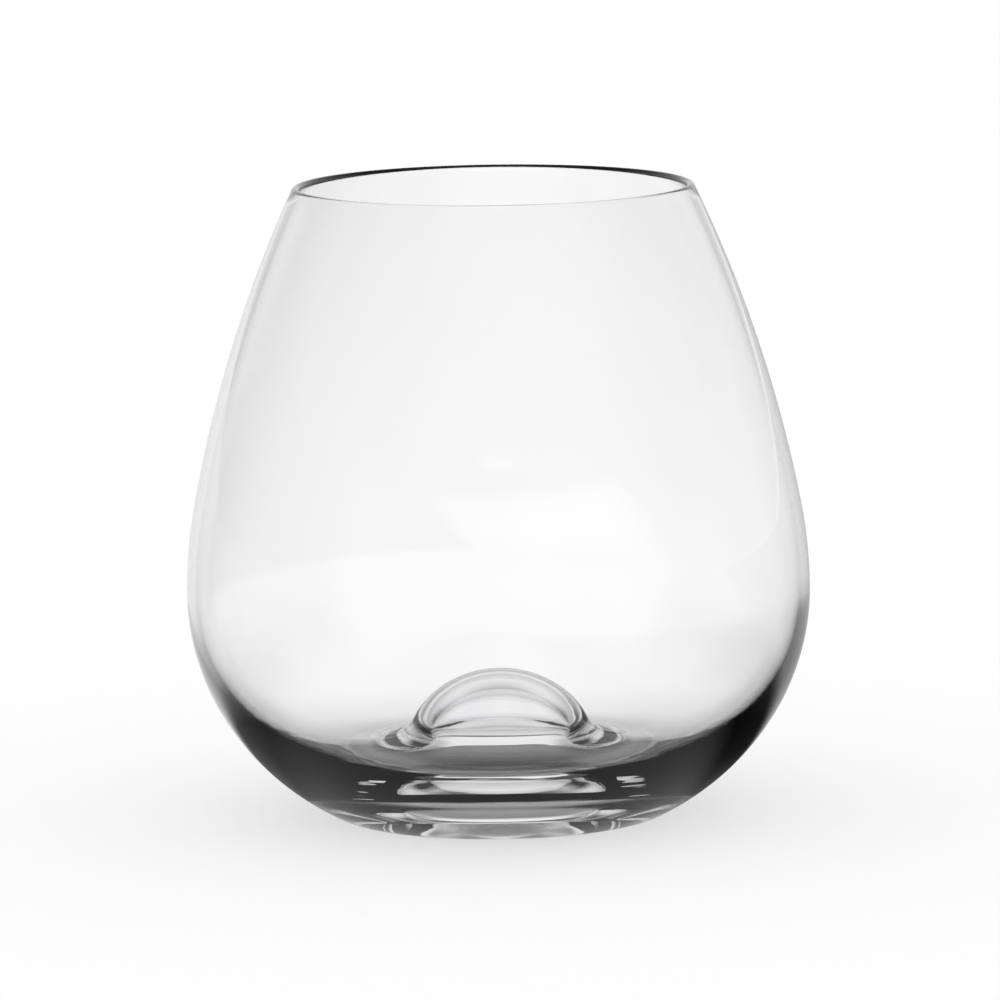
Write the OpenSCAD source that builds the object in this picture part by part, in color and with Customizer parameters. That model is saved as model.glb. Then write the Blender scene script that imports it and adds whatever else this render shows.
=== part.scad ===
// Stemless wine glass, blown as one piece of clear glass, in millimetres.
// It stands on its foot at z = 0, and its axis of revolution is Z.
// The wall's cross-section is a chain of smoothly joined curves, turned once round the axis.

/* [Outside] */
// Height from the table to the top of the lip
height = 101.2; // [99:0.1:104]
// Radius at the belly, the widest place
belly_radius = 50; // [48.5:0.1:52]
// Height of the belly above the table
belly_height = 35.8; // [34:0.1:38]
// Radius of the arc just above the belly
shoulder_radius = 75; // [70:0.5:85]
// Share of the wall's whole turn, from the belly to the lip, that this arc makes
shoulder_share = 0.35; // [0.3:0.01:0.4]
// Distance of the centre of the hip's ellipse from the axis
hip_centre_radius = 5.1; // [0:0.1:8]
// How far below the table the hip's ellipse would reach if the foot didn't end it
hip_overrun = 5; // [4:0.1:8]

/* [Rim] */
// Outer radius of the lip
rim_radius = 32.2; // [31:0.1:33.5]
// Thickness of the fire-polished lip, which is a full round
rim_wall = 1.4; // [1:0.1:2]

/* [Foot] */
// Radius of the round between the hip and the flat of the foot
foot_round = 3.4; // [2.5:0.1:6]
// Width of the flat ring that the glass stands on
foot_flat = 3.3; // [2.3:0.1:4.8]

/* [Inside] */
// Thickness of the wall at the belly
belly_wall = 1.5; // [1.2:0.1:2.2]
// Radius of the ring where the inside floor is lowest
floor_radius = 22.8; // [22:0.1:26]
// Height of that ring above the table
floor_height = 7.4; // [6:0.1:9]

/* [Push-up] */
// Height of the top of the inside dome above the table
dome_height = 22.3; // [21.5:0.1:24]
// Radius of the dome's crown
dome_crown_radius = 15.3; // [14:0.1:16]
// Height of the hollow under the dome
hollow_height = 18.7; // [16:0.1:19.5]
// Radius of the hollow's crown
hollow_crown_radius = 12.1; // [10:0.1:12.5]

/* [Hidden] */

// How far a straight step of the section may lie from its curve
curve_error = 0.02;
// Number of steps round the axis
$fn = 180;
// Times that the search for the foot's round halves its range of angles
halvings = 40;

// Unit vector at an angle above the horizontal
function direction(angle) = [cos(angle), sin(angle)];

// Angle above the horizontal of the line from one point to another
function bearing(from, to) = atan2(to.y - from.y, to.x - from.x);

// Point of an ellipse at an angle of its circle
function on_ellipse(centre, axes, angle) = centre + [axes.x * cos(angle), axes.y * sin(angle)];

// Points along an ellipse, without its last one, which begins the next stretch
function stretch(centre, axes, start, end) =
    let (step = 2 * acos(1 - curve_error / max(axes)))
    let (steps = ceil(abs(end - start) / step))
    [for (i = [0:steps - 1]) on_ellipse(centre, axes, start + (end - start) * i / steps)];

// Points along an arc, in the same way
function arc(centre, radius, start, end) = stretch(centre, [radius, radius], start, end);

// Radius of the arc that leaves a joint along a normal and closes on a round inside it.
// A round that lies outside the arc has a negative radius.
function closing_radius(joint, normal, round_centre, round_radius) =
    let (reach = round_centre - joint)
    (round_radius * round_radius - reach * reach) / (2 * (reach * normal + round_radius));

// Radius of the flare that brings a crown of one radius down to a level edge
function flare_radius(edge_radius, rise, crown_radius) =
    (edge_radius * edge_radius + rise * rise) / (2 * rise) - crown_radius;

// Outside above the belly: a short arc, the long arc of the wall, and the round of the lip
wall_turn = 2 * atan((belly_radius - rim_radius) / (height - belly_height));
shoulder_angle = shoulder_share * wall_turn;
shoulder_centre = [belly_radius - shoulder_radius, belly_height];
shoulder_normal = direction(shoulder_angle);
shoulder_end = shoulder_centre + shoulder_radius * shoulder_normal;
lip_radius = rim_wall / 2;
lip_centre = [rim_radius - lip_radius, height - lip_radius];
wall_radius = closing_radius(shoulder_end, shoulder_normal, lip_centre, lip_radius);
wall_centre = shoulder_end - wall_radius * shoulder_normal;
lip_outer_angle = bearing(wall_centre, lip_centre);

// Outside below the belly: the hip, an ellipse that is upright at the belly
hip_centre = [hip_centre_radius, belly_height];
hip_axes = [belly_radius - hip_centre_radius, belly_height + hip_overrun];

// Outward normal of the hip at an angle of the ellipse's circle
function hip_normal(angle) =
    let (normal = [cos(angle) / hip_axes.x, sin(angle) / hip_axes.y])
    normal / norm(normal);

// Centre of the foot's round if it began at that angle
function foot_centre_at(angle) = on_ellipse(hip_centre, hip_axes, angle) - foot_round * hip_normal(angle);

// Angle at which the foot's round just touches the table
function foot_start(upper, lower, left) =
    let (middle = (upper + lower) / 2)
    left == 0 ? middle :
    foot_centre_at(middle).y > foot_round ? foot_start(middle, lower, left - 1) :
    foot_start(upper, middle, left - 1);

foot_start_angle = foot_start(0, -90, halvings);
foot_centre = foot_centre_at(foot_start_angle);
foot_normal_angle = bearing([0, 0], hip_normal(foot_start_angle));

// Inside above the belly: the belly's wall is kept at first, and then thins to the lip
inner_shoulder_radius = shoulder_radius - belly_wall;
inner_shoulder_end = shoulder_centre + inner_shoulder_radius * shoulder_normal;
inner_wall_radius = closing_radius(inner_shoulder_end, shoulder_normal, lip_centre, -lip_radius);
inner_wall_centre = inner_shoulder_end - inner_wall_radius * shoulder_normal;
lip_inner_angle = bearing(inner_wall_centre, lip_centre);

// Inside below the belly: a quarter of an ellipse, down to the floor's lowest ring
floor_centre = [floor_radius, belly_height];
floor_axes = [belly_radius - belly_wall - floor_radius, belly_height - floor_height];

// Dome inside the glass: its crown, and the flare down to the floor's lowest ring
dome_centre = [0, dome_height - dome_crown_radius];
dome_flare_radius = flare_radius(floor_radius, dome_height - floor_height, dome_crown_radius);
dome_flare_centre = [floor_radius, floor_height + dome_flare_radius];
dome_flare_angle = bearing(dome_centre, dome_flare_centre);

// Hollow under the dome: its crown, and the rounded edge down to the foot's flat ring
hollow_edge_radius = foot_centre.x - foot_flat;
hollow_centre = [0, hollow_height - hollow_crown_radius];
hollow_flare_radius = flare_radius(hollow_edge_radius, hollow_height, hollow_crown_radius);
hollow_flare_centre = [hollow_edge_radius, hollow_flare_radius];
hollow_flare_angle = bearing(hollow_centre, hollow_flare_centre);

// From the top of the dome down to the floor, and up the inside to the lip
inside_points = concat(
    arc(dome_centre, dome_crown_radius, 90, dome_flare_angle),
    arc(dome_flare_centre, dome_flare_radius, dome_flare_angle + 180, 270),
    stretch(floor_centre, floor_axes, -90, 0),
    arc(shoulder_centre, inner_shoulder_radius, 0, shoulder_angle),
    arc(inner_wall_centre, inner_wall_radius, shoulder_angle, lip_inner_angle)
);

// Over the lip and down the outside to the table
outside_points = concat(
    arc(lip_centre, lip_radius, lip_inner_angle + 180, lip_outer_angle),
    arc(wall_centre, wall_radius, lip_outer_angle, shoulder_angle),
    arc(shoulder_centre, shoulder_radius, shoulder_angle, 0),
    stretch(hip_centre, hip_axes, 0, foot_start_angle),
    arc(foot_centre, foot_round, foot_normal_angle, -90),
    [[foot_centre.x, 0]]
);

// From the flat of the foot ring up into the hollow, as far as the axis
underside_points = concat(
    arc(hollow_flare_centre, hollow_flare_radius, 270, hollow_flare_angle + 180),
    arc(hollow_centre, hollow_crown_radius, hollow_flare_angle, 90),
    [[0, hollow_height]]
);

// The whole glass: bowl, rounded lip, heavy base with its foot ring, and hollow push-up
module glass() {
    color("white", 0.4)
    rotate_extrude()
    polygon(concat(inside_points, outside_points, underside_points));
}

glass();
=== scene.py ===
"""Stemless wine glass on a pale table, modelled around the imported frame."""

import math

import bpy
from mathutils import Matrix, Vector


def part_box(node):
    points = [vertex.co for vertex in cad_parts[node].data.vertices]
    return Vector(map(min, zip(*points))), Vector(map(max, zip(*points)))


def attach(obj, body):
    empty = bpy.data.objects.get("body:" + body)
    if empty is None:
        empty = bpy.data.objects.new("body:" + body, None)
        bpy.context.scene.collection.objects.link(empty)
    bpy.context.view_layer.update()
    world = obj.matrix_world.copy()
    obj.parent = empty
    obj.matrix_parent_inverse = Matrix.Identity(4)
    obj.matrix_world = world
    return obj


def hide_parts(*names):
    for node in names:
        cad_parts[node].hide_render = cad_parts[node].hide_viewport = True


bl_info = {
    "name": "Stemless Wine Glass",
    "version": (1, 0, 0),
    "blender": (4, 5, 0),
    "location": "3D View > Sidebar > Glassware",
    "description": "Models a clear stemless wine glass and its studio",
    "category": "Add Mesh",
}

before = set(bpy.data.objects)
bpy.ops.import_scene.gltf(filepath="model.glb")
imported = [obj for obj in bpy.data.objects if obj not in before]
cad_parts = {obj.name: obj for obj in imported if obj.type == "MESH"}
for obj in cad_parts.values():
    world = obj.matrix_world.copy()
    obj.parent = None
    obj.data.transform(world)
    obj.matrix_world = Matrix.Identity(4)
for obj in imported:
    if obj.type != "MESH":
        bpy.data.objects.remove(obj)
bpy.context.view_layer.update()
GLASS_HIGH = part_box("glass")[1]

MM = 0.001
QUARTER_TURN = math.pi / 2
WHITE = (1.0, 1.0, 1.0, 1.0)

# Times that the search for the foot's round halves its range of angles
HALVINGS = 40
# Points of the turned outline that are nearer than this are one point
WELD = 0.001 * MM

# Place of the glass in the photograph, which is as wide as it is high, in pixels
PHOTO_SIZE = 1000
LOOK_PIXEL = (497.2, 502.0)
# Height on the glass's axis that this pixel shows
LOOK_HEIGHT = 50 * MM

# The glass itself: how often its noises repeat in a metre along X, Y and Z, the heights
# between which its ripples and its wear fade, and how strong they are
GLASS_IOR = 1.5
CORD_WAVES = (30, 30, 9)
CORD_EDGES = (0.35, 0.65)
CORD_TINT = (0.985, 0.985, 0.993, 1.0)
RIPPLE_WAVES = (22, 22, 330)
RIPPLES_FADE = (14 * MM, 26 * MM)
RIPPLE_DEPTH = 0.05 * MM
WEAR_WAVES = (900, 900, 900)
WEAR_FADES = (0.1 * MM, 0.4 * MM)
WORN_ROUGHNESS = 0.3

# Sides of the studio: where a direction's share towards the back eases from 0 to 1
BACK_SECTOR = (0.6, 0.9)
FRONT_SECTOR = (-0.1, -0.6)

# The table under the base, where the glass shows painted shade and light: its half length along Y,
# where its middle gives way to its ends along X, and where it gives way to the table around it
UNDER_HALF = 28 * MM
MIDDLE_TO_ENDS = (9 * MM, 15 * MM)
UNDER_TO_AROUND = (25 * MM, 29 * MM)
# Blur of the painted shade's edge, and the tone of the painted light behind it
SHADE_BLUR = 0.4 * MM
LIT_TONE = 0.68
# Painted shade under the glass, for light that the glass mirrors
MIRRORED_UNDER_PAINTED_SHADE = 0.65

# Painted shade on the right of the table, as from a dark card: where it begins along X, how far
# from the axis it ends, and what it leaves of the light that is seen beside and behind the glass
PAINTED_CARD_SHADE_BEGINS = (20 * MM, 50 * MM)
PAINTED_CARD_SHADE_ENDS = (150 * MM, 300 * MM)
BESIDE_PAINTED_CARD_SHADE = 0.15
BEHIND_PAINTED_CARD_SHADE = 0.6
# Where the table behind the glass begins for light that the glass mirrors
BEHIND_BEGINS = (18 * MM, 50 * MM)


class GlassSizes(bpy.types.PropertyGroup):
    """Sizes of the glass's section, a chain of smoothly joined curves."""

    height: bpy.props.FloatProperty(
        name="Height",
        description="Height from the table to the top of the lip",
        default=GLASS_HIGH[2],
        unit="LENGTH",
    )
    belly_radius: bpy.props.FloatProperty(
        name="Belly radius",
        description="Outer radius at the widest place",
        default=GLASS_HIGH[0],
        unit="LENGTH",
    )
    belly_height: bpy.props.FloatProperty(
        name="Belly height",
        description="Height of the widest place above the table",
        default=35.8 * MM,
        unit="LENGTH",
    )
    shoulder_radius: bpy.props.FloatProperty(
        name="Shoulder arc",
        description="Radius of the arc just above the belly",
        default=75 * MM,
        unit="LENGTH",
    )
    shoulder_share: bpy.props.FloatProperty(
        name="Shoulder share",
        description="Share of the wall's turn, from the belly to the lip, that this arc makes",
        default=0.35,
        subtype="FACTOR",
    )
    hip_centre_radius: bpy.props.FloatProperty(
        name="Hip centre",
        description="Distance of the centre of the hip's ellipse from the axis",
        default=5.1 * MM,
        unit="LENGTH",
    )
    hip_overrun: bpy.props.FloatProperty(
        name="Hip overrun",
        description="How far below the table the hip's ellipse would reach without the foot",
        default=5 * MM,
        unit="LENGTH",
    )
    rim_radius: bpy.props.FloatProperty(
        name="Rim radius",
        description="Outer radius of the lip",
        default=32.2 * MM,
        unit="LENGTH",
    )
    rim_wall: bpy.props.FloatProperty(
        name="Lip thickness",
        description="Thickness of the fire-polished lip, which is a full round",
        default=1.4 * MM,
        unit="LENGTH",
    )
    foot_round: bpy.props.FloatProperty(
        name="Foot round",
        description="Radius of the round between the hip and the flat of the foot",
        default=3.4 * MM,
        unit="LENGTH",
    )
    foot_flat: bpy.props.FloatProperty(
        name="Foot flat",
        description="Width of the flat ring that the glass stands on",
        default=3.3 * MM,
        unit="LENGTH",
    )
    belly_wall: bpy.props.FloatProperty(
        name="Belly wall",
        description="Thickness of the wall at the belly",
        default=1.5 * MM,
        unit="LENGTH",
    )
    floor_radius: bpy.props.FloatProperty(
        name="Floor ring",
        description="Radius of the ring where the inside floor is lowest",
        default=22.8 * MM,
        unit="LENGTH",
    )
    floor_height: bpy.props.FloatProperty(
        name="Floor height",
        description="Height of that ring above the table",
        default=7.4 * MM,
        unit="LENGTH",
    )
    dome_height: bpy.props.FloatProperty(
        name="Dome height",
        description="Height of the top of the inside dome",
        default=22.3 * MM,
        unit="LENGTH",
    )
    dome_crown_radius: bpy.props.FloatProperty(
        name="Dome crown",
        description="Radius of the dome's crown",
        default=15.3 * MM,
        unit="LENGTH",
    )
    hollow_height: bpy.props.FloatProperty(
        name="Hollow height",
        description="Height of the hollow under the dome",
        default=18.7 * MM,
        unit="LENGTH",
    )
    hollow_crown_radius: bpy.props.FloatProperty(
        name="Hollow crown",
        description="Radius of the hollow's crown",
        default=12.1 * MM,
        unit="LENGTH",
    )
    curve_error: bpy.props.FloatProperty(
        name="Curve error",
        description="How far a straight step of the section may lie from its curve",
        default=0.003 * MM,
        unit="LENGTH",
    )
    turn_steps: bpy.props.IntProperty(
        name="Turn steps",
        description="Number of steps round the axis",
        default=192,
        min=12,
    )


class StudioSizes(bpy.types.PropertyGroup):
    """Where the camera stands, and how the studio is lit."""

    camera_distance: bpy.props.FloatProperty(
        name="Camera distance",
        description="Distance of the camera from the glass's axis",
        default=1.2,
        unit="LENGTH",
    )
    camera_elevation: bpy.props.FloatProperty(
        name="Camera elevation",
        description="Angle that the camera looks down at",
        default=math.radians(8.35),
        unit="ROTATION",
    )
    camera_roll: bpy.props.FloatProperty(
        name="Camera roll",
        description="Angle that the camera leans to the right",
        default=math.radians(0.81),
        unit="ROTATION",
    )
    pixels_per_mm: bpy.props.FloatProperty(
        name="Pixels per millimetre",
        description="Scale of the photograph on the glass's axis",
        default=6.235,
    )
    table_size: bpy.props.FloatProperty(
        name="Table size",
        description="Width of the pale table top",
        default=40.0,
        unit="LENGTH",
    )
    air_gap: bpy.props.FloatProperty(
        name="Air gap",
        description="Thin layer of air between the flat of the foot and the table",
        default=0.05 * MM,
        unit="LENGTH",
    )
    # Edge of the painted shade on the table under the hollow, which the glass shows
    shade_edge: bpy.props.FloatProperty(
        name="Shade edge",
        description="How far behind the axis the shaded part of the table under the hollow ends",
        default=2.7 * MM,
        unit="LENGTH",
    )
    # Radius of the glass's painted shadow on the table
    shaded_radius: bpy.props.FloatProperty(
        name="Shaded radius",
        description="Radius of the table that the base shades",
        default=26 * MM,
        unit="LENGTH",
    )
    shadow_lift: bpy.props.FloatProperty(
        name="Shadow lift",
        description="How far the table's own white light lifts the glass's shadow",
        default=0.5,
        subtype="FACTOR",
    )
    trapped_bounces: bpy.props.IntProperty(
        name="Trapped bounces",
        description="Inner reflections after which light trapped in the glass is lost",
        default=3,
        min=0,
    )


def direction(angle):
    """Unit vector in the XZ plane at an angle above +X."""
    return Vector((math.cos(angle), 0.0, math.sin(angle)))


def bearing(start, end):
    """Angle above +X of the line from one point of the XZ plane to another."""
    return math.atan2(end.z - start.z, end.x - start.x)


def on_ellipse(centre, axes, angle):
    """Point of an upright ellipse in the XZ plane, at an angle of its circle."""
    return centre + Vector((axes[0] * math.cos(angle), 0.0, axes[1] * math.sin(angle)))


def stretch(centre, axes, start, end, error):
    """Points along an ellipse, without its last one, which begins the next stretch."""
    step = 2 * math.acos(1 - error / max(axes))
    steps = math.ceil(abs(end - start) / step)
    return [on_ellipse(centre, axes, start + (end - start) * i / steps) for i in range(steps)]


def closing_radius(joint, normal, round_centre, round_radius):
    """Radius of the arc that leaves a joint along a normal and closes on a round inside it.

    A round that lies outside the arc has a negative radius.
    """
    reach = round_centre - joint
    return (round_radius**2 - reach.dot(reach)) / (2 * (reach.dot(normal) + round_radius))


def flare_radius(edge_radius, rise, crown_radius):
    """Radius of the flare that brings a crown down to a level edge."""
    return (edge_radius**2 + rise**2) / (2 * rise) - crown_radius


def foot_start(hip_centre, hip_axes, foot_round):
    """Where the foot's round leaves the hip so that it just touches the table.

    Returns the angle on the hip's ellipse, the centre of the round and its first angle.
    """
    upper, lower = 0.0, -QUARTER_TURN
    for _ in range(HALVINGS):
        angle = (upper + lower) / 2
        normal = Vector((math.cos(angle) / hip_axes[0], 0.0, math.sin(angle) / hip_axes[1]))
        normal.normalize()
        centre = on_ellipse(hip_centre, hip_axes, angle) - foot_round * normal
        if centre.z > foot_round:
            upper = angle
        else:
            lower = angle
    return angle, centre, math.atan2(normal.z, normal.x)


def section_points(s):
    """The section's outline, from the top of the dome round to the top of the hollow."""

    def arc(centre, radius, start, end):
        return stretch(centre, (radius, radius), start, end, s.curve_error)

    shoulder_centre = Vector((s.belly_radius - s.shoulder_radius, 0, s.belly_height))
    wall_turn = 2 * math.atan((s.belly_radius - s.rim_radius) / (s.height - s.belly_height))
    shoulder_angle = s.shoulder_share * wall_turn
    shoulder_normal = direction(shoulder_angle)
    shoulder_end = shoulder_centre + s.shoulder_radius * shoulder_normal
    lip_radius = s.rim_wall / 2
    lip_centre = Vector((s.rim_radius - lip_radius, 0, s.height - lip_radius))
    wall_radius = closing_radius(shoulder_end, shoulder_normal, lip_centre, lip_radius)
    wall_centre = shoulder_end - wall_radius * shoulder_normal
    lip_outer_angle = bearing(wall_centre, lip_centre)

    hip_centre = Vector((s.hip_centre_radius, 0, s.belly_height))
    hip_axes = (s.belly_radius - s.hip_centre_radius, s.belly_height + s.hip_overrun)
    foot_start_angle, foot_centre, foot_normal_angle = foot_start(
        hip_centre, hip_axes, s.foot_round
    )

    inner_shoulder_radius = s.shoulder_radius - s.belly_wall
    inner_shoulder_end = shoulder_centre + inner_shoulder_radius * shoulder_normal
    inner_wall_radius = closing_radius(inner_shoulder_end, shoulder_normal, lip_centre, -lip_radius)
    inner_wall_centre = inner_shoulder_end - inner_wall_radius * shoulder_normal
    lip_inner_angle = bearing(inner_wall_centre, lip_centre)

    floor_centre = Vector((s.floor_radius, 0, s.belly_height))
    floor_axes = (s.belly_radius - s.belly_wall - s.floor_radius, s.belly_height - s.floor_height)

    dome_centre = Vector((0, 0, s.dome_height - s.dome_crown_radius))
    dome_flare = flare_radius(s.floor_radius, s.dome_height - s.floor_height, s.dome_crown_radius)
    dome_flare_centre = Vector((s.floor_radius, 0, s.floor_height + dome_flare))
    dome_flare_angle = bearing(dome_centre, dome_flare_centre)

    hollow_centre = Vector((0, 0, s.hollow_height - s.hollow_crown_radius))
    hollow_edge_radius = foot_centre.x - s.foot_flat
    hollow_flare = flare_radius(hollow_edge_radius, s.hollow_height, s.hollow_crown_radius)
    hollow_flare_centre = Vector((hollow_edge_radius, 0, hollow_flare))
    hollow_flare_angle = bearing(hollow_centre, hollow_flare_centre)

    inside = (
        arc(dome_centre, s.dome_crown_radius, QUARTER_TURN, dome_flare_angle)
        + arc(dome_flare_centre, dome_flare, dome_flare_angle + math.pi, 3 * QUARTER_TURN)
        + stretch(floor_centre, floor_axes, -QUARTER_TURN, 0, s.curve_error)
        + arc(shoulder_centre, inner_shoulder_radius, 0, shoulder_angle)
        + arc(inner_wall_centre, inner_wall_radius, shoulder_angle, lip_inner_angle)
    )
    outside = (
        arc(lip_centre, lip_radius, lip_inner_angle + math.pi, lip_outer_angle)
        + arc(wall_centre, wall_radius, lip_outer_angle, shoulder_angle)
        + arc(shoulder_centre, s.shoulder_radius, shoulder_angle, 0)
        + stretch(hip_centre, hip_axes, 0, foot_start_angle, s.curve_error)
        + arc(foot_centre, s.foot_round, foot_normal_angle, -QUARTER_TURN)
        + [Vector((foot_centre.x, 0, 0))]
    )
    underside = (
        arc(hollow_flare_centre, hollow_flare, 3 * QUARTER_TURN, hollow_flare_angle + math.pi)
        + arc(hollow_centre, s.hollow_crown_radius, hollow_flare_angle, QUARTER_TURN)
        + [Vector((0, 0, s.hollow_height))]
    )
    return inside + outside + underside


def deselect_all():
    """Leaves edit mode and deselects every object."""
    if bpy.context.object and bpy.context.object.mode != "OBJECT":
        bpy.ops.object.mode_set(mode="OBJECT")
    bpy.ops.object.select_all(action="DESELECT")


def draw_outline(name, points):
    """Adds an object in edit mode and draws an outline, extruding a vertex to each point."""
    deselect_all()
    bpy.ops.mesh.primitive_plane_add(size=MM, location=(0, 0, 0))
    piece = bpy.context.object
    piece.name = name
    piece.data.name = name
    bpy.ops.object.mode_set(mode="EDIT")
    bpy.ops.mesh.select_mode(type="VERT")
    bpy.ops.mesh.select_all(action="SELECT")
    bpy.ops.mesh.merge(type="CENTER")
    bpy.ops.transform.translate(value=points[0])
    for last, point in zip(points, points[1:]):
        bpy.ops.mesh.extrude_region_move(TRANSFORM_OT_translate={"value": point - last})
    return piece


def turn_outline(steps):
    """Turns the whole outline once round Z and closes the seam and the poles."""
    bpy.ops.mesh.select_all(action="SELECT")
    bpy.ops.mesh.spin(steps=steps, angle=math.tau, center=(0, 0, 0), axis=(0, 0, 1))
    bpy.ops.mesh.select_all(action="SELECT")
    bpy.ops.mesh.remove_doubles(threshold=WELD)
    bpy.ops.mesh.normals_make_consistent(inside=False)


class Shade:
    """A shader socket that takes part in Python arithmetic."""

    def __init__(self, tree, socket):
        self.tree = tree
        self.socket = socket

    def maths(self, operation, *values):
        """The result of a Math node, given its inputs in their order."""
        node = self.tree.nodes.new("ShaderNodeMath")
        node.operation = operation
        for slot, value in zip(node.inputs, values):
            if isinstance(value, Shade):
                self.tree.links.new(value.socket, slot)
            else:
                slot.default_value = value
        return Shade(self.tree, node.outputs[0])

    def __add__(self, other):
        return self.maths("ADD", self, other)

    def __sub__(self, other):
        return self.maths("SUBTRACT", self, other)

    def __rsub__(self, other):
        return self.maths("SUBTRACT", other, self)

    def __mul__(self, other):
        return self.maths("MULTIPLY", self, other)

    def __truediv__(self, other):
        return self.maths("DIVIDE", self, other)

    def __rtruediv__(self, other):
        return self.maths("DIVIDE", other, self)

    def __pow__(self, other):
        return self.maths("POWER", self, other)

    def __gt__(self, other):
        return self.maths("GREATER_THAN", self, other)

    def __abs__(self):
        return self.maths("ABSOLUTE", self)

    __radd__ = __add__
    __rmul__ = __mul__


class NodeTree:
    """A material's or a world's nodes, emptied."""

    def __init__(self, owner):
        owner.use_nodes = True
        self.tree = owner.node_tree
        self.tree.nodes.clear()

    def add(self, kind, settings=None, stops=(), **inputs):
        """Adds a node, sets its properties and its ramp's stops, then its sockets.

        A socket goes by its name, with underscores for the spaces, or by an underscore and
        its number. It takes a value, or a Shade that is linked to it.
        """
        node = self.tree.nodes.new("ShaderNode" + kind)
        for key, value in (settings or {}).items():
            setattr(node, key, value)
        for number, (place, tone) in enumerate(stops):
            ramp = node.color_ramp.elements
            stop = ramp[number] if number < 2 else ramp.new(place)
            stop.position = place
            stop.color = (tone, tone, tone, 1)
        for key, value in inputs.items():
            socket = node.inputs[int(key[1:]) if key[1:].isdigit() else key.replace("_", " ")]
            if isinstance(value, Shade):
                self.tree.links.new(value.socket, socket)
            else:
                socket.default_value = value
        return node

    def out(self, node, name):
        """The output of a node that has this name or number."""
        return Shade(self.tree, node.outputs[name])

    def ease(self, value, start, end, low=0, high=1):
        """A value that eases from low to high as another goes from start to end."""
        smooth = {"interpolation_type": "SMOOTHSTEP"}
        limits = {"From_Min": start, "From_Max": end, "To_Min": low, "To_Max": high}
        return self.out(self.add("MapRange", smooth, Value=value, **limits), "Result")

    def place_between(self, value, start, end):
        """Where a value lies between two others, from 0 to 1."""
        return self.out(self.add("MapRange", Value=value, From_Min=start, From_Max=end), "Result")

    def tones(self, value, *stops):
        """A tone that follows a value from 0 to 1 through stops of place and tone."""
        return self.out(self.add("ValToRGB", stops=stops, Fac=value), "Color")

    def noise(self, spot, waves):
        """Noise from 0 to 1 that repeats about so often in a metre along X, Y and Z."""
        mapping = self.add("Mapping", Vector=spot, Scale=waves)
        texture = self.add("TexNoise", Vector=self.out(mapping, "Vector"), Scale=1.0)
        return self.out(texture, "Fac")


def mix(factor, low, high):
    """Goes from one tone to another as the factor goes from 0 to 1."""
    return low * (1 - factor) + high * factor


def clear_glass():
    """Colourless glass with faint cords, soft ripples in its base and a worn foot ring."""
    material = bpy.data.materials.new("clear_glass")
    nodes = NodeTree(material)
    spot = nodes.out(nodes.add("TexCoord"), "Object")
    height = nodes.out(nodes.add("SeparateXYZ", Vector=spot), "Z")

    cords = nodes.ease(nodes.noise(spot, CORD_WAVES), *CORD_EDGES)
    tint = nodes.add("Mix", {"data_type": "RGBA"}, _0=cords, _6=CORD_TINT, _7=WHITE)
    ripples = nodes.noise(spot, RIPPLE_WAVES) * nodes.ease(height, *RIPPLES_FADE, 1, 0)
    bump = nodes.add("Bump", Height=ripples, Distance=RIPPLE_DEPTH)
    wear = nodes.noise(spot, WEAR_WAVES) * nodes.ease(height, *WEAR_FADES, WORN_ROUGHNESS, 0)

    shader = nodes.add(
        "BsdfPrincipled",
        Base_Color=nodes.out(tint, 2),
        Roughness=wear,
        Normal=nodes.out(bump, "Normal"),
        IOR=GLASS_IOR,
        Transmission_Weight=1.0,
    )
    nodes.add("OutputMaterial", Surface=nodes.out(shader, "BSDF"))
    return material


def ways_of_light(nodes):
    """Three factors, of which one is 1 where the studio is seen by way of the glass.

    The light passed straight through the glass, was reflected inside it or was mirrored by
    it. A ray that passes through counts as glossy too, so the mirrored light leaves it out.
    """
    path = nodes.add("LightPath")
    direct = 1 - (nodes.out(path, "Diffuse Depth") > 0)
    inside = nodes.out(path, "Glossy Depth") > 0
    passing = nodes.out(path, "Is Transmission Ray")
    mirrored = nodes.out(path, "Is Glossy Ray") * (1 - passing)
    return passing * (1 - inside) * direct, passing * inside * direct, mirrored * direct


def sides_of_studio(nodes, y, radius):
    """Two factors of a direction: 1 towards the back, and 1 towards the camera's side."""
    towards_back = y / radius
    back = nodes.ease(towards_back, *BACK_SECTOR)
    front = nodes.ease(towards_back, *FRONT_SECTOR)
    return back, front


class TableSpot:
    """Where a point of the table lies, in the ways that its painted shade and light follow."""

    def __init__(self, nodes, studio):
        place = nodes.add("SeparateXYZ", Vector=nodes.out(nodes.add("TexCoord"), "Object"))
        self.x, self.y = nodes.out(place, "X"), nodes.out(place, "Y")
        radius = (self.x * self.x + self.y * self.y) ** 0.5
        self.reach = 1 - studio.shaded_radius / radius
        self.depth = nodes.place_between(self.y, -UNDER_HALF, UNDER_HALF)
        self.at_ends = nodes.ease(abs(self.x), *MIDDLE_TO_ENDS)
        self.beyond = nodes.ease(radius, *UNDER_TO_AROUND)
        self.back, self.front = sides_of_studio(nodes, self.y, radius)
        # Painted shade on the right of the table, as from a dark card
        painted_shade_beside_card = nodes.ease(self.x, *PAINTED_CARD_SHADE_BEGINS, 1, BESIDE_PAINTED_CARD_SHADE)
        self.painted_card_shade_leaves = mix(nodes.ease(radius, *PAINTED_CARD_SHADE_ENDS), painted_shade_beside_card, 1.0)


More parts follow.
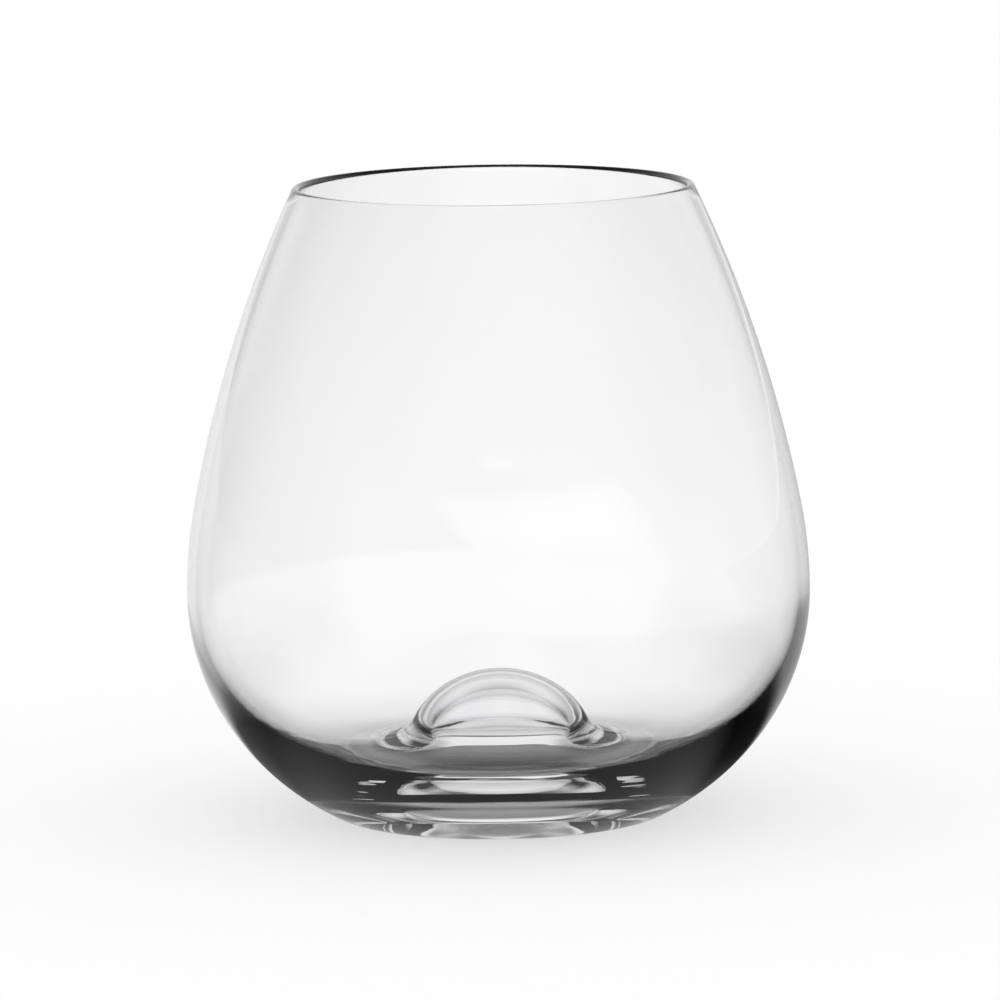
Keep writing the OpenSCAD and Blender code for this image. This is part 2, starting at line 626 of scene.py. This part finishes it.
def straight_painted_tone(nodes, spot, studio):
    """Painted tone of the table for light that passes straight through the glass.

    The middle under the base has painted shade, with painted light behind the shade's edge, and
    around the base the glass's painted shadow grows paler further out.
    """
    # Painted shade under the middle of the base, with a painted lit patch behind its edge
    shade = nodes.tones(
        spot.depth, (0.0, 0.16), (0.2, 0.02), (0.32, 0.04), (0.5, 0.24), (0.8, 0.24)
    )
    lit_from, lit_to = studio.shade_edge, studio.shade_edge + SHADE_BLUR
    middle = shade + nodes.ease(spot.y, lit_from, lit_to, 0, LIT_TONE)
    # Painted shade and light under the base's ends
    ends = nodes.tones(
        spot.depth, (0.0, 0.25), (0.28, 0.08), (0.52, 0.1), (0.63, 0.75), (1.0, 0.6)
    )
    # The glass's painted shadow on the table around its base, paler further out
    around = nodes.tones(
        spot.reach, (0.05, 0.62), (0.19, 0.7), (0.35, 0.88), (0.6, 1.0), (1.0, 1.0)
    )
    return mix(spot.beyond, mix(spot.at_ends, middle, ends), around)


def bounced_painted_tone(nodes, spot):
    """Painted shade and light of the table for light that is reflected inside the glass."""
    # Painted shade and light under the base
    middle = nodes.tones(
        spot.depth, (0.0, 0.36), (0.36, 0.23), (0.52, 0.9), (0.7, 1.0), (1.0, 0.57)
    )
    ends = nodes.tones(
        spot.depth, (0.0, 0.8), (0.15, 0.27), (0.38, 0.54), (0.55, 0.14), (0.7, 0.5)
    )
    # Painted shade and light around the base, by side of the studio
    at_back = nodes.tones(
        spot.reach, (0.05, 0.5), (0.4, 0.86), (0.7, 0.3), (0.8, 0.75), (1.0, 0.85)
    )
    at_side = nodes.tones(
        spot.reach, (0.2, 0.02), (0.6, 0.05), (0.72, 0.3), (0.9, 0.5), (1.0, 0.6)
    )
    at_front = nodes.tones(
        spot.reach, (0.2, 0.3), (0.5, 0.3), (0.6, 0.9), (0.75, 1.0), (1.0, 0.72)
    )
    # With the dark card's painted shade on the right
    around = mix(spot.front, mix(spot.back, at_side, at_back), at_front) * spot.painted_card_shade_leaves
    return mix(spot.beyond, mix(spot.at_ends, middle, ends), around)


def mirrored_painted_tone(nodes, spot):
    """Painted shade and light of the table for light that the glass mirrors."""
    # Painted shade around the base, with the dark card's painted shade on the right
    at_side = spot.painted_card_shade_leaves * nodes.tones(
        spot.reach, (0.05, 0.45), (0.2, 0.2), (0.58, 0.15), (0.7, 0.55), (0.82, 1.0)
    )
    at_front = nodes.tones(
        spot.reach, (0.05, 0.6), (0.2, 0.4), (0.6, 0.4), (0.72, 1.0), (1.0, 1.0)
    )
    # Painted shade of the dark card on the table behind the glass
    behind = nodes.ease(spot.x, *PAINTED_CARD_SHADE_BEGINS, 1, BEHIND_PAINTED_CARD_SHADE)
    before = mix(spot.front, at_side, at_front)
    around = mix(nodes.ease(spot.y, *BEHIND_BEGINS), before, behind)
    # Painted shade under the glass
    return mix(spot.beyond, MIRRORED_UNDER_PAINTED_SHADE, around)


def pale_table_painted_shade(studio):
    """White table top, which shows painted shade and light to light seen by way of the glass: the
    glass's shade under and around its base, a lit patch behind the shade's edge and a dark card's
    shade on the right.
    """
    material = bpy.data.materials.new("pale_table_painted_shade")
    nodes = NodeTree(material)
    spot = TableSpot(nodes, studio)
    straight, bounced, mirrored = ways_of_light(nodes)
    # Painted shade and light, picked by the way the light came through the glass
    tone = (
        straight_painted_tone(nodes, spot, studio) * straight
        + bounced_painted_tone(nodes, spot) * bounced
        + mirrored_painted_tone(nodes, spot) * mirrored
    )
    # Painted glow: the table shows these painted tones to light seen by way of the glass, though it
    # is no lamp
    painted_glow = nodes.add("Emission", Color=tone, Strength=1.0)
    cloth = nodes.add("BsdfDiffuse", Color=WHITE)
    glow = nodes.add("Emission", Color=WHITE, Strength=1.0)
    camera_ray = nodes.out(nodes.add("LightPath"), "Is Camera Ray")
    lifted = nodes.add(
        "MixShader",
        _0=studio.shadow_lift * camera_ray,
        _1=nodes.out(cloth, "BSDF"),
        _2=nodes.out(glow, "Emission"),
    )
    mixed = nodes.add(
        "MixShader",
        _0=straight + bounced + mirrored,
        _1=nodes.out(lifted, "Shader"),
        _2=nodes.out(painted_glow, "Emission"),
    )
    nodes.add("OutputMaterial", Surface=nodes.out(mixed, "Shader"))
    return material


def pale_studio():
    """White room, which the glass shows in tones that follow the height and the side."""
    world = bpy.data.worlds.new("pale_studio")
    nodes = NodeTree(world)
    aim = nodes.add("SeparateXYZ", Vector=nodes.out(nodes.add("TexCoord"), "Generated"))
    x, y, height = nodes.out(aim, "X"), nodes.out(aim, "Y"), nodes.out(aim, "Z")
    back, front = sides_of_studio(nodes, y, (x * x + y * y) ** 0.5)
    straight_tone = nodes.tones(
        height, (0.05, 0.9), (0.14, 0.66), (0.3, 0.9), (0.45, 0.8), (0.68, 0.04), (1.0, 0.15)
    )
    at_back = nodes.tones(
        height, (0.0, 0.5), (0.2, 0.7), (0.42, 0.85), (0.6, 0.7), (0.85, 0.1), (1.0, 0.25)
    )
    at_side = nodes.tones(
        height, (0.0, 0.45), (0.14, 0.35), (0.24, 0.03), (0.5, 0.03), (0.75, 0.52), (0.9, 0.1)
    )
    at_front = nodes.tones(
        height, (0.0, 0.8), (0.25, 0.93), (0.64, 0.75), (0.78, 0.28), (1.0, 0.68)
    )
    bounced_tone = mix(front, mix(back, at_side, at_back), at_front)
    mirrored_tone = nodes.tones(
        height, (0.0, 1.0), (0.25, 1.0), (0.5, 0.55), (0.76, 0.12), (1.0, 0.45)
    )
    straight, bounced, mirrored = ways_of_light(nodes)
    plain = 1 - straight - bounced - mirrored
    tone = straight_tone * straight + bounced_tone * bounced + mirrored_tone * mirrored + plain
    light = nodes.add("Background", Color=tone, Strength=1.0)
    nodes.add("OutputWorld", Surface=nodes.out(light, "Background"))
    return world


class GLASSWARE_OT_glass(bpy.types.Operator):
    """Model the glass: bowl, lip, base, foot ring and push-up, in one piece"""

    bl_idname = "glassware.glass"
    bl_label = "Glass"

    def execute(self, context):
        sizes = context.scene.glass_sizes
        piece = draw_outline("wine_glass", section_points(sizes))
        turn_outline(sizes.turn_steps)
        bpy.ops.object.mode_set(mode="OBJECT")
        bpy.ops.object.shade_smooth()
        piece.data.materials.clear()
        piece.data.materials.append(clear_glass())
        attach(piece, "root")
        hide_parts("glass")
        return {"FINISHED"}


class GLASSWARE_OT_studio(bpy.types.Operator):
    """Set the pale table, the soft light and the camera"""

    bl_idname = "glassware.studio"
    bl_label = "Studio"

    def execute(self, context):
        studio = context.scene.studio_sizes
        deselect_all()
        bpy.ops.mesh.primitive_plane_add(size=studio.table_size, location=(0, 0, -studio.air_gap))
        table = bpy.context.object
        table.name = "table_top"
        table.data.materials.append(pale_table_painted_shade(studio))
        context.scene.world = pale_studio()
        place_camera(context.scene, studio)
        context.scene.view_settings.view_transform = "Standard"
        context.scene.cycles.glossy_bounces = studio.trapped_bounces
        return {"FINISHED"}


def place_camera(scene, studio):
    """Puts the camera at the photograph's angle, aimed a little beside the middle of the glass."""
    pixel = MM / studio.pixels_per_mm
    side = (PHOTO_SIZE / 2 - LOOK_PIXEL[0]) * pixel
    rise = (LOOK_PIXEL[1] - PHOTO_SIZE / 2) * pixel
    lean = studio.camera_elevation
    back = Vector((0, -math.cos(lean), math.sin(lean)))
    up = Vector((0, math.sin(lean), math.cos(lean)))
    aim = Vector((side, 0, LOOK_HEIGHT)) + rise * up
    bpy.ops.object.camera_add(location=aim + studio.camera_distance * back)
    camera = bpy.context.object
    camera.name = "photo_camera"
    camera.rotation_euler = (QUARTER_TURN - lean, 0, 0)
    camera.rotation_euler.rotate_axis("Z", -studio.camera_roll)
    focal_pixels = studio.pixels_per_mm / MM * studio.camera_distance
    camera.data.lens = focal_pixels / PHOTO_SIZE * camera.data.sensor_width
    camera.data.clip_start = 0.01
    camera.data.clip_end = 100
    scene.camera = camera


class GLASSWARE_PT_panel(bpy.types.Panel):
    """Buttons and sizes in the 3D view's sidebar"""

    bl_idname = "GLASSWARE_PT_panel"
    bl_label = "Stemless Wine Glass"
    bl_space_type = "VIEW_3D"
    bl_region_type = "UI"
    bl_category = "Glassware"

    def draw(self, context):
        layout = self.layout
        for operator in (GLASSWARE_OT_glass, GLASSWARE_OT_studio):
            layout.operator(operator.bl_idname)
        for group in (context.scene.glass_sizes, context.scene.studio_sizes):
            column = layout.column()
            for name in group.bl_rna.properties.keys():
                if name not in {"rna_type", "name"}:
                    column.prop(group, name)


CLASSES = (
    GlassSizes,
    StudioSizes,
    GLASSWARE_OT_glass,
    GLASSWARE_OT_studio,
    GLASSWARE_PT_panel,
)


def register():
    for cls in CLASSES:
        bpy.utils.register_class(cls)
    bpy.types.Scene.glass_sizes = bpy.props.PointerProperty(type=GlassSizes)
    bpy.types.Scene.studio_sizes = bpy.props.PointerProperty(type=StudioSizes)


def unregister():
    del bpy.types.Scene.studio_sizes
    del bpy.types.Scene.glass_sizes
    for cls in reversed(CLASSES):
        bpy.utils.unregister_class(cls)


def main():
    register()
    bpy.ops.glassware.glass()
    bpy.ops.glassware.studio()


if __name__ == "__main__":
    main()
